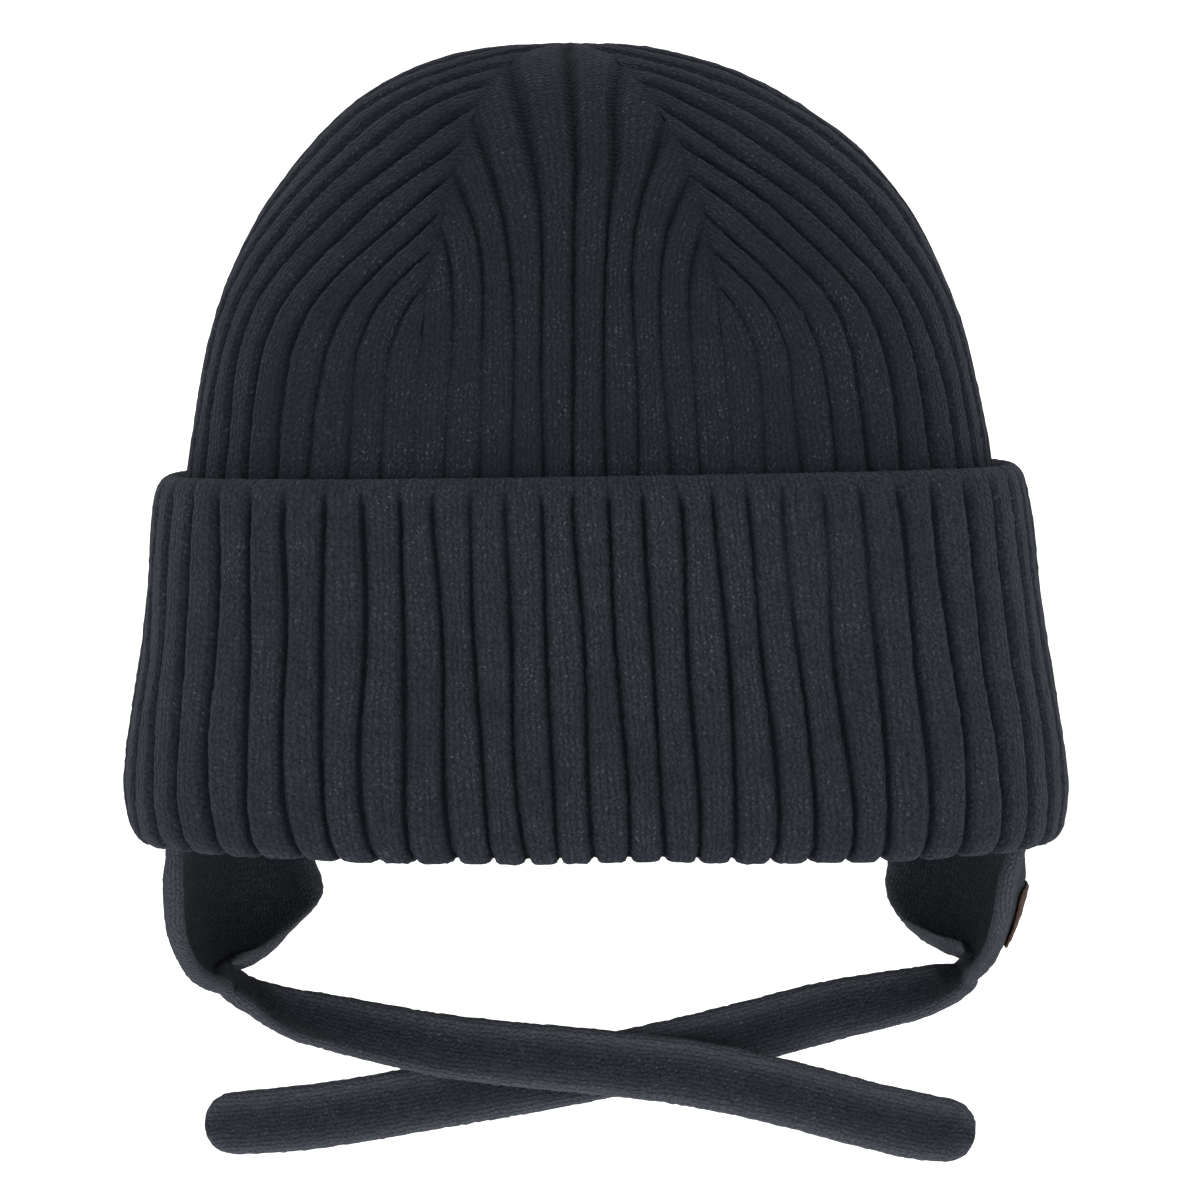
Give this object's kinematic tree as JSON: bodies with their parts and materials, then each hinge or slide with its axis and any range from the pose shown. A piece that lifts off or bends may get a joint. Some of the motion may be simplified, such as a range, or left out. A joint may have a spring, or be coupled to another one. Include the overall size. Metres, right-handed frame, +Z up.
{
  "type": "knit hat with ear flaps and ties",
  "caption": "Child's ribbed knit beanie with a deep turned-up cuff, plain-knit ear flaps and two flat ties that cross in front.",
  "frame": {"origin": "middle of the head opening, level with the lowest stitches of the rim", "axes": "+Z up through the crown, -Y the way the wearer faces, +X towards the wearer's left"},
  "size_m": [0.1958, 0.1508, 0.2339],
  "materials": {
    "rib_knit": "soft matt rib knit in dark navy charcoal yarn",
    "plain_knit": "soft matt fine plain knit in the same dark yarn",
    "patch_leather": "bare brown leather, slightly waxed"
  },
  "bodies": {
    "root": {"crown": "rib_knit", "cuff": "rib_knit", "ear_flap_right": "plain_knit", "ear_flap_left": "plain_knit", "tie_right": "plain_knit", "tie_left": "plain_knit", "label_patch": "patch_leather"}
  },
  "joints": []
}
